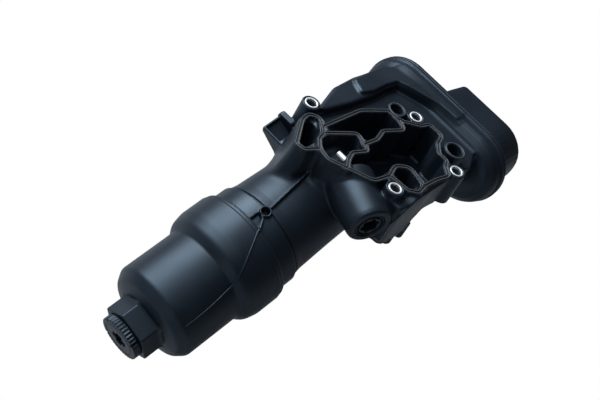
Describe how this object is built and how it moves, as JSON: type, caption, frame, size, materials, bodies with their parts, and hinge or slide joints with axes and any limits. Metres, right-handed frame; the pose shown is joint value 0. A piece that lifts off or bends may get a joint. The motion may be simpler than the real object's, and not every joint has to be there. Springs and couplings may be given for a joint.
{
  "type": "oil filter housing",
  "caption": "Engine oil filter housing with a screw-on bowl, bolt-on gasket face with oil ports, relief valve boss and a flanged oil cooler shell.",
  "frame": {"origin": "middle of the four mounting bolts, in the plane of the gasket face", "axes": "+Z out of the gasket face towards the engine, +X towards the cooler cover, +Y along the cooler flange"},
  "size_m": [0.3547, 0.148, 0.142],
  "materials": {
    "plastic": "satin black glass-filled moulding",
    "inner_plastic": "satin",
    "media": "pleated paper",
    "rubber": "matte",
    "sleeve_steel": "turned",
    "steel": "bright",
    "aluminium": "brazed"
  },
  "bodies": {
    "housing": {"housing": "plastic", "face_gasket": "rubber", "bolt_sleeve_1": "sleeve_steel", "bolt_sleeve_2": "sleeve_steel", "bolt_sleeve_3": "sleeve_steel", "bolt_sleeve_4": "sleeve_steel", "bowl_o_ring": "rubber", "standpipe": "inner_plastic", "relief_plug": "plastic", "relief_plug_seal": "rubber", "relief_spring": "steel", "bypass_spring": "steel", "valve_pin": "steel", "cooler_core": "aluminium", "cooler_seal_1": "rubber", "cooler_seal_2": "rubber", "cooler_cover": "plastic"},
    "cartridge": {"element_bottom_cap": "inner_plastic", "element_top_cap": "inner_plastic", "filter_media": "media", "element_core": "inner_plastic"},
    "bowl": {"filter_bowl": "plastic"},
    "drain_carrier": {"drain_plug_seal": "rubber"},
    "drain": {"drain_plug": "plastic"},
    "relief_piston": {"relief_piston": "steel"},
    "bypass_disc": {"bypass_disc": "steel"}
  },
  "joints": [
    {"name": "cartridge_slide", "type": "slide", "parent": "housing", "child": "cartridge", "axis": [-0.9455, 0, -0.3256], "range_m": [0, 0.016]},
    {"name": "bowl_turn", "type": "hinge", "parent": "cartridge", "child": "bowl", "pos_m": [-0.15408, 0.0197, -0.09328], "axis": [-0.9455, 0, -0.3256], "range_deg": [0, 1440]},
    {"name": "drain_slide", "type": "slide", "parent": "bowl", "child": "drain_carrier", "axis": [-0.9455, 0, -0.3256], "range_m": [0, 0.0075]},
    {"name": "drain_turn", "type": "hinge", "parent": "drain_carrier", "child": "drain", "pos_m": [-0.21459, 0.0197, -0.11411], "axis": [-0.9455, 0, -0.3256], "range_deg": [0, 1800]},
    {"name": "relief_slide", "type": "slide", "parent": "housing", "child": "relief_piston", "axis": [-0.4067, -0.9135, 0], "range_m": [0, 0.004], "stiffness_N_per_m": 800, "springref_m": -0.004, "deforming": ["relief_spring"]},
    {"name": "bypass_slide", "type": "slide", "parent": "housing", "child": "bypass_disc", "axis": [0.9455, 0, 0.3256], "range_m": [0, 0.006], "stiffness_N_per_m": 500, "springref_m": -0.004, "deforming": ["bypass_spring"]}
  ],
  "couplings": [
    {"joint": "cartridge_slide", "follows": "bowl_turn", "m_per_rad": 0.00063662},
    {"joint": "drain_slide", "follows": "drain_turn", "m_per_rad": 0.00023873}
  ]
}
